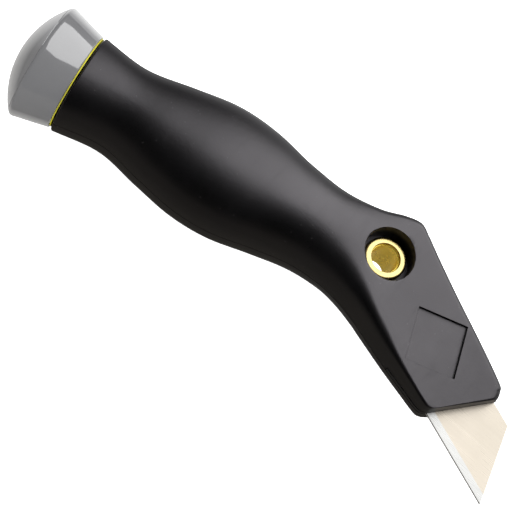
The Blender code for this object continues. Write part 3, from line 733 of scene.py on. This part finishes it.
def turned_brass(name, dark, light, metallic):
    """Polished brass with fine turning rings about the pivot."""
    n = Nodes(name)
    n.set(Metallic=metallic, Specular_Tint=(1.0, 0.85, 0.5, 1.0))
    centre = n.add("ShaderNodeVectorMath", operation='SUBTRACT')
    centre.inputs[1].default_value = SHIFT + PIVOT * MM
    n.link(n.coords, centre.inputs[0])
    flat = n.add("ShaderNodeVectorMath", operation='MULTIPLY')
    flat.inputs[1].default_value = (1.0, 1.0, 0.0)
    n.link(centre.outputs["Vector"], flat.inputs[0])
    radius = n.add("ShaderNodeVectorMath", operation='LENGTH')
    n.link(flat.outputs["Vector"], radius.inputs[0])
    along = n.add("ShaderNodeSeparateXYZ")
    n.link(n.coords, along.inputs["Vector"])
    place = n.math('ADD', radius.outputs["Value"], along.outputs["Z"])
    rings = n.add("ShaderNodeTexNoise", noise_dimensions='1D')
    rings.inputs["Scale"].default_value = 9000.0
    rings.inputs["Detail"].default_value = 2.0
    n.link(place, rings.inputs["W"])
    patch = n.noise(500.0, 3.0)
    color = n.ramp(patch, [(0.3, dark), (0.7, light)])
    rough = n.ramp(patch, [(0.3, 0.20), (0.7, 0.30)])
    normal = n.bump(rings.outputs["Fac"], 0.10, 0.00003)
    return n.finish(color, rough, normal)


def ground_steel(name, warm, dark, rough, angle, metallic):
    """Brushed steel whose lines run at an angle in the plane of the knife."""
    n = Nodes(name)
    n.set(Metallic=metallic)
    brushed = n.stretched((60.0, 2600.0, 2600.0), (0.0, 0.0, -angle))
    lines = n.noise(1.0, 4.0, brushed, 0.6)
    stain = n.noise(70.0, 4.0)
    color = n.ramp(stain, [(0.3, dark), (0.7, warm)])
    gloss = n.ramp(lines, [(0.35, rough[0]), (0.65, rough[1])])
    normal = n.bump(lines, 0.04, 0.00003)
    return n.finish(color, gloss, normal)


def yellow_plastic():
    """Matte moulded yellow ring with a fine grain."""
    n = Nodes("yellow_ring_plastic")
    grain = n.noise(1800.0, 3.0)
    color = n.ramp(n.noise(120.0, 3.0), [(0.3, (0.42, 0.39, 0.004)), (0.7, (0.50, 0.46, 0.006))])
    rough = n.ramp(grain, [(0.3, 0.42), (0.7, 0.55)])
    return n.finish(color, rough, n.bump(grain, 0.15, 0.00005))


def floor_paper():
    """White light table: bright to the camera, in reflections dim on the belly side and
    brighter on the spine side."""
    n = Nodes("pale_paper")
    n.set(Roughness=0.9, Specular_IOR_Level=0.1)
    path = n.add("ShaderNodeLightPath")
    glossy = path.outputs["Is Glossy Ray"]
    tone = n.noise(6.0, 3.0)
    pale = n.ramp(tone, [(0.3, (0.88, 0.88, 0.88)), (0.7, (0.91, 0.91, 0.91))])
    place = n.add("ShaderNodeSeparateXYZ")
    n.link(n.coords, place.inputs["Vector"])
    across = n.add("ShaderNodeMapRange")
    across.inputs["From Min"].default_value = FLOOR_BLEND_START
    across.inputs["From Max"].default_value = FLOOR_BLEND_END
    n.link(place.outputs["Y"], across.inputs["Value"])
    reflected = n.ramp(across.outputs["Result"],
                       [(0.0, FLOOR_IN_GLOSS), (1.0, FLOOR_IN_GLOSS_SPINE)])
    n.link(n.mix(glossy, (1.0, 1.0, 1.0), reflected), n.shader.inputs["Emission Color"])
    glow = n.math('ADD', n.math('MULTIPLY', path.outputs["Is Camera Ray"], FLOOR_GLOW), glossy)
    n.link(glow, n.shader.inputs["Emission Strength"])
    return n.finish(n.mix(glossy, pale, (0.0, 0.0, 0.0)))


# ---------------------------------------------------------------- pieces

def front_cover(mat):
    shell = add_object("front_shell_fine", shell_solid(1), mat)
    for start, end in FRONT_HOLLOWS:
        cut(shell, hollow_solid(1, start, end))
    cut(shell, counterbore_cutter())
    cut(shell, turned(rod(-CUT_PAST, FRONT_FLOOR_Z + CUT_PAST, PIVOT_BORE_R), PIVOT, UP))
    slot = nose_outline(PLATE_START - PLATE_END_GAP, PLATE_SLOT_PAST, PLATE_SLOT_PAST)
    cut(shell, prism(slot, -CUT_PAST, PLATE_TOP_Z + PLATE_GAP))
    cut(shell, recess_cutter())
    for x, y in PLATE_RIVETS:
        cut(shell, turned(rod(0.0, RIVET_TOP_Z + FIT_GAP, RIVET_R + FIT_GAP),
                          Vector((x, y, 0)), UP, PIN_SEGMENTS))
    weigh_normals(shell)
    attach(shell, "front_cover")
    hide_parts("front_shell")


def rear_half(mat):
    shell = add_object("rear_shell_fine", shell_solid(-1), mat)
    for start, end in REAR_HOLLOWS:
        cut(shell, hollow_solid(-1, start, end))
    mouth = [(-REAR_FLAT - drop, SLEEVE_FLANGE_R + growth) for drop, growth in REAR_BORE_MOUTH]
    bore = [(mouth[0][0], 0.0)] + mouth
    bore += [(REAR_FLOOR_Z, SLEEVE_FLANGE_R + FLANGE_GAP), (REAR_FLOOR_Z, PIVOT_BORE_R),
             (CUT_PAST, PIVOT_BORE_R), (CUT_PAST, 0.0)]
    cut(shell, turned(bore, PIVOT, UP))
    cut(shell, box_along(STORE_CENTRE, STORE_ANGLE, BLADE_LENGTH + STORE_SLACK_ALONG,
                         BLADE_WIDTH + STORE_SLACK_ACROSS, -STORE_DEPTH, CUT_PAST))
    slant = (BLADE_LENGTH - BLADE_BACK) / 2
    pocket = [blade_point(-POCKET_PAST_TIP, -FIT_GAP),
              blade_point(BLADE_LENGTH + 2 * FIT_GAP, -FIT_GAP),
              blade_point(BLADE_LENGTH - slant + FIT_GAP, BLADE_WIDTH + FIT_GAP),
              blade_point(slant - POCKET_WIDENING, BLADE_WIDTH + FIT_GAP)]
    cut(shell, prism(pocket, BLADE_MID_Z - BLADE_THICKNESS / 2 - FIT_GAP, CUT_PAST))
    middle = TAIL_CENTRE + TAIL_AXIS * ((TONGUE_LENGTH + FIT_GAP - TONGUE_OUT) / 2)
    cut(shell, box_along(middle, TAIL_ANGLE, TONGUE_LENGTH + TONGUE_OUT + FIT_GAP,
                         2 * (TONGUE_HALF + FIT_GAP), -TONGUE_DEPTH - FIT_GAP, CUT_PAST))
    for offset in (-NOTCH_SPACING / 2, NOTCH_SPACING / 2):
        x, y = blade_point(BLADE_LENGTH / 2 + offset,
                           BLADE_WIDTH - NOTCH_DEPTH + NOTCH_WIDTH / 2)
        cut(shell, turned(rod(LUG_BOTTOM_Z - FIT_GAP, 0.0, LUG_R + FIT_GAP),
                          Vector((x, y, 0)), UP, PIN_SEGMENTS))
    for offset in (-PIN_OFFSET, PIN_OFFSET):
        place = TAIL_CENTRE + TAIL_AXIS * PIN_AT + TAIL_SIDE * offset
        hole = rod(-TONGUE_DEPTH - PIN_HOLE_DEPTH, 0.0, PIN_R + FIT_GAP)
        cut(shell, turned(hole, place, UP, PIN_SEGMENTS))
    weigh_normals(shell)
    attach(shell, "handle")
    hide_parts("rear_shell")


def pivot(sleeve_mat, collar_mat):
    flange_top = SLEEVE_BOTTOM_Z + SLEEVE_FLANGE_THICKNESS
    profile = [(SLEEVE_BOTTOM_Z + SLEEVE_MOUTH, SLEEVE_BORE_R),
               (SLEEVE_BOTTOM_Z, SLEEVE_BORE_R + SLEEVE_MOUTH)]
    profile += [(SLEEVE_BOTTOM_Z + rise, SLEEVE_FLANGE_R - setback)
                for rise, setback in SLEEVE_FLANGE_EASE]
    profile += [(flange_top, SLEEVE_FLANGE_R), (flange_top, SLEEVE_R),
                (SLEEVE_TOP_Z, SLEEVE_R), (SLEEVE_TOP_Z, SLEEVE_BORE_R)]
    sleeve = add_object("pivot_sleeve_fine", turned(profile, PIVOT, UP), sleeve_mat)
    step = SLEEVE_TOP_Z + PRESS_GAP
    seat = SLEEVE_R + PRESS_GAP
    outer = rounded((COLLAR_TOP_Z, COLLAR_R), (COLLAR_BOTTOM_Z, COLLAR_R),
                    (COLLAR_TOP_Z, COLLAR_BORE_R), COLLAR_ROUND, 6)
    inner = rounded((COLLAR_TOP_Z, COLLAR_BORE_R), (COLLAR_TOP_Z, COLLAR_R),
                    (step, COLLAR_BORE_R), COLLAR_BORE_ROUND, 4)
    profile = [(COLLAR_BOTTOM_Z, seat), (COLLAR_BOTTOM_Z, COLLAR_R)] + outer + inner
    profile += [(step, COLLAR_BORE_R), (step, seat)]
    collar = add_object("pivot_collar_fine", turned(profile, PIVOT, UP), collar_mat)
    for piece, node in ((sleeve, "pivot_sleeve"), (collar, "pivot_collar")):
        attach(piece, "handle")
        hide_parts(node)


def fitted_blade(mats):
    bm = blade_solid()
    turn = Matrix.Rotation(BLADE_ANGLE, 4, 'Z') @ Matrix.Scale(-1, 4, Vector((1, 0, 0)))
    bm.transform(Matrix.Translation((BLADE_TIP.x, BLADE_TIP.y, BLADE_MID_Z)) @ turn)
    blade = add_object("blade_fine", bm, mats[0], BLADE_SMOOTH_ANGLE)
    for mat in mats[1:]:
        blade.data.materials.append(mat)
    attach(blade, "handle")
    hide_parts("blade")


def stored_blades(mats):
    for number in range(1, SPARE_COUNT + 1):
        bm = blade_solid()
        bm.transform(Matrix.Translation((-BLADE_LENGTH / 2, -BLADE_WIDTH / 2, 0.0)))
        bm.transform(Matrix.Rotation(STORE_ANGLE, 4, 'Z'))
        middle = SPARE_TOP_Z - BLADE_THICKNESS / 2 - SPARE_PITCH * (number - 1)
        bm.transform(Matrix.Translation((STORE_CENTRE.x, STORE_CENTRE.y, middle)))
        blade = add_object(f"stored_blade_{number}", bm, mats[0], BLADE_SMOOTH_ANGLE)
        for mat in mats[1:]:
            blade.data.materials.append(mat)
        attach(blade, "handle")
        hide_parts(f"spare_blade_{number}")


def clamp_plate(mat):
    plate = add_object("clamp_plate_fine",
                       prism(nose_outline(PLATE_START), PLATE_BOTTOM_Z, PLATE_TOP_Z), mat)
    for x, y in PLATE_RIVETS:
        cut(plate, turned(rod(-CUT_PAST, PLATE_TOP_Z + CUT_PAST, RIVET_R + FIT_GAP / 2),
                          Vector((x, y, 0)), UP, 48))
    bevel_edges(plate, PLATE_EDGE)
    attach(plate, "front_cover")
    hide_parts("blade_clamp_plate")


def pommel(cap_mat, ring_mat):
    away = -TAIL_AXIS
    edge_r = CAP_RIM_R - CAP_DOME_SETBACK
    rise = CAP_APEX - (CAP_RIM_AT + CAP_DOME_AT)
    ball_r = (edge_r ** 2 + rise ** 2) / (2 * rise)
    open_angle = asin(edge_r / ball_r)
    dome = []
    for k in range(CAP_DOME_STEPS):
        turn = open_angle * (1 - k / CAP_DOME_STEPS)
        dome.append((CAP_APEX - ball_r * (1 - cos(turn)), ball_r * sin(turn)))
    neck = rounded((CAP_START, CAP_NECK_R), (CAP_START, CAP_MOUTH_R), (CAP_RIM_AT, CAP_RIM_R),
                   CAP_NECK_ROUND, 4)
    rim = rounded((CAP_RIM_AT + CAP_RIM_BAND, CAP_RIM_R), (CAP_START, CAP_NECK_R), dome[1],
                  CAP_RIM_ROUND, 8)
    start = Vector(rim[-1])
    ahead = (Vector(dome[1]) - start).normalized()
    inwards = Vector((-abs(ahead.y), -abs(ahead.x)))
    crease = [tuple(start + ahead * along + inwards * deep) for along, deep in CAP_CREASE]
    outside = neck + rim + crease + dome[2:] + [(CAP_APEX, 0.0)]
    seat_r = INSERT_R + PRESS_GAP
    seat_end = INSERT_END + PRESS_GAP
    floor = seat_end + INSERT_ROOM
    inside = [(floor, 0.0), (floor, INSERT_BORE_R), (seat_end, INSERT_BORE_R),
              (seat_end, seat_r), (CAP_MOUTH_DEPTH, seat_r), (CAP_MOUTH_DEPTH, CAP_MOUTH_R),
              (CAP_START, CAP_MOUTH_R)]
    bm = turned(outside + inside, TAIL_CENTRE, away, CAP_SEGMENTS)
    cap = add_object("pommel_cap_fine", bm, cap_mat)
    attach(cap, "cap")
    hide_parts("pommel_cap")
    middle = (GASKET_START + GASKET_END) / 2
    inner_r = SPIGOT_SHOULDER_R + GASKET_SLACK
    edge_r = GASKET_R - GASKET_EDGE
    ring = [(GASKET_START, inner_r), (GASKET_START, edge_r),
            (middle - GASKET_HALF_CROWN, GASKET_R), (middle + GASKET_HALF_CROWN, GASKET_R),
            (GASKET_END, edge_r), (GASKET_END, inner_r)]
    bm = turned(ring, TAIL_CENTRE, away, CAP_SEGMENTS)
    gasket = add_object("cap_gasket_fine", bm, ring_mat)
    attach(gasket, "gasket")
    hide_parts("cap_gasket")


def recolour(node, mat):
    """Give a carried-over CAD node its finished material."""
    mesh = frame["nodes"][node].data
    mesh.materials.clear()
    mesh.materials.append(mat)


# ---------------------------------------------------------------- stage

FLOOR_IN_GLOSS = (0.130, 0.121, 0.105)
FLOOR_IN_GLOSS_SPINE = (0.62, 0.62, 0.62)
FLOOR_BLEND_START = -0.01
FLOOR_BLEND_END = 0.03
FLOOR_GLOW = 0.8
FLOOR_HALF = 1.5
WORLD_STRENGTH = 1.5
VIEW_TILT = radians(26.0)
VIEW_DISTANCE = 0.417
VIEW_TARGET = SHIFT
IMAGE_RIGHT = Vector((0.7581, 0.6521))
LENS = 112.5


def camera():
    """Camera over the front shell, leaning towards the cutting edge side, rolled to lay the
    knife from the upper left to the lower right."""
    toward = Vector((0.0, -sin(VIEW_TILT), cos(VIEW_TILT)))
    across = Vector((0.0, cos(VIEW_TILT), sin(VIEW_TILT)))
    right = Vector((1.0, 0.0, 0.0)) * IMAGE_RIGHT.x + across * IMAGE_RIGHT.y
    up = across * IMAGE_RIGHT.x - Vector((1.0, 0.0, 0.0)) * IMAGE_RIGHT.y
    data = bpy.data.cameras.new("view_camera")
    data.lens = LENS
    data.sensor_width = 36.0
    data.clip_start = 0.01
    obj = bpy.data.objects.new("view_camera", data)
    turn = Matrix((right, up, toward)).transposed().to_4x4()
    obj.matrix_world = Matrix.Translation(VIEW_TARGET + toward * VIEW_DISTANCE) @ turn
    bpy.context.scene.collection.objects.link(obj)
    bpy.context.scene.camera = obj


def softbox(name, toward, distance, size, radiance):
    """Rectangular area light aimed at the knife; radiance fixes its brightness in reflections."""
    toward = Vector(toward).normalized()
    data = bpy.data.lights.new(name, 'AREA')
    data.shape = 'RECTANGLE'
    data.size, data.size_y = size
    data.energy = radiance * pi * size[0] * size[1]
    obj = bpy.data.objects.new(name, data)
    turn = toward.to_track_quat('Z', 'Y').to_matrix().to_4x4()
    obj.matrix_world = Matrix.Translation(toward * distance) @ turn
    bpy.context.scene.collection.objects.link(obj)


def stage():
    bm = bmesh.new()
    bmesh.ops.create_grid(bm, x_segments=8, y_segments=8, size=FLOOR_HALF)
    mesh = bpy.data.meshes.new("floor")
    bm.to_mesh(mesh)
    bm.free()
    mesh.materials.append(floor_paper())
    floor = bpy.data.objects.new("floor", mesh)
    bpy.context.scene.collection.objects.link(floor)
    world = bpy.data.worlds.new("studio")
    bpy.context.scene.world = world
    world.use_nodes = True
    background = world.node_tree.nodes["Background"]
    background.inputs["Color"].default_value = (1.0, 1.0, 1.0, 1.0)
    background.inputs["Strength"].default_value = WORLD_STRENGTH
    world.cycles_visibility.glossy = False
    bpy.context.scene.view_settings.view_transform = 'Standard'
    softbox("key_softbox", toward=(0.20, 0.55, 0.83), distance=0.75, size=(0.62, 0.92),
            radiance=2.75)
    softbox("rim_strip", toward=(0.456, 0.822, 0.25), distance=0.75, size=(0.55, 0.30),
            radiance=1.6)


# ---------------------------------------------------------------- build

black = satin_black()
grey = gloss_grey()
# Painted light: the sleeve's brass is a brighter, more saturated, half-diffuse copy of the
# collar's brass, so the shaded bore reads lit and golden.
bore_brass_painted_light = turned_brass("bore_brass_painted_light", dark=(0.80, 0.60, 0.08), light=(0.88, 0.69, 0.12),
                          metallic=0.5)
collar_brass = turned_brass("collar_brass", dark=(0.53, 0.42, 0.17), light=(0.62, 0.51, 0.23),
                            metallic=1.0)
blade_steel = ground_steel("ground_blade_steel", warm=(0.42, 0.378, 0.319),
                           dark=(0.384, 0.346, 0.289), rough=(0.26, 0.36), angle=BLADE_ANGLE,
                           metallic=0.5)
# Partly real, partly painted: the ground bevel is smoother than the flat, and its steel is lighter
# and whiter as a painted highlight along the band.
bevel_steel_painted_highlight = ground_steel("bevel_steel_painted_highlight", warm=(0.43, 0.43, 0.42), dark=(0.40, 0.40, 0.39),
                           rough=(0.24, 0.32), angle=BLADE_ANGLE, metallic=0.5)
# Painted shade: the honed edge's steel is darkened to draw the thin dark line along the cutting
# edge.
honed_steel_painted_shade = ground_steel("honed_edge_painted_shade_steel", warm=(0.10, 0.098, 0.09),
                           dark=(0.07, 0.068, 0.062), rough=(0.2, 0.3), angle=BLADE_ANGLE,
                           metallic=0.5)
stored_steel = ground_steel("oiled_blade_steel", warm=(0.60, 0.60, 0.58),
                            dark=(0.50, 0.50, 0.48), rough=(0.22, 0.34), angle=STORE_ANGLE,
                            metallic=0.6)
zinc = ground_steel("zinc_plate", warm=(0.62, 0.63, 0.66), dark=(0.52, 0.53, 0.56),
                    rough=(0.28, 0.42), angle=0.0, metallic=0.6)
blued = ground_steel("blued_spring_steel", warm=(0.26, 0.27, 0.30), dark=(0.16, 0.17, 0.20),
                     rough=(0.25, 0.4), angle=STORE_ANGLE, metallic=0.6)

front_cover(black)
rear_half(black)
pivot(bore_brass_painted_light, collar_brass)
fitted_blade([blade_steel, bevel_steel_painted_highlight, honed_steel_painted_shade])
stored_blades([stored_steel, bevel_steel_painted_highlight, honed_steel_painted_shade])
clamp_plate(black)
pommel(grey, yellow_plastic())
for name in ("tail_spigot", "cap_insert", "spigot_pin_1", "spigot_pin_2", "blade_lug_pin_1",
             "blade_lug_pin_2", "clamp_rivet_1", "clamp_rivet_2"):
    recolour(name, zinc)
for name in ("wave_washer", "spare_blade_spring"):
    recolour(name, blued)
stage()
camera()
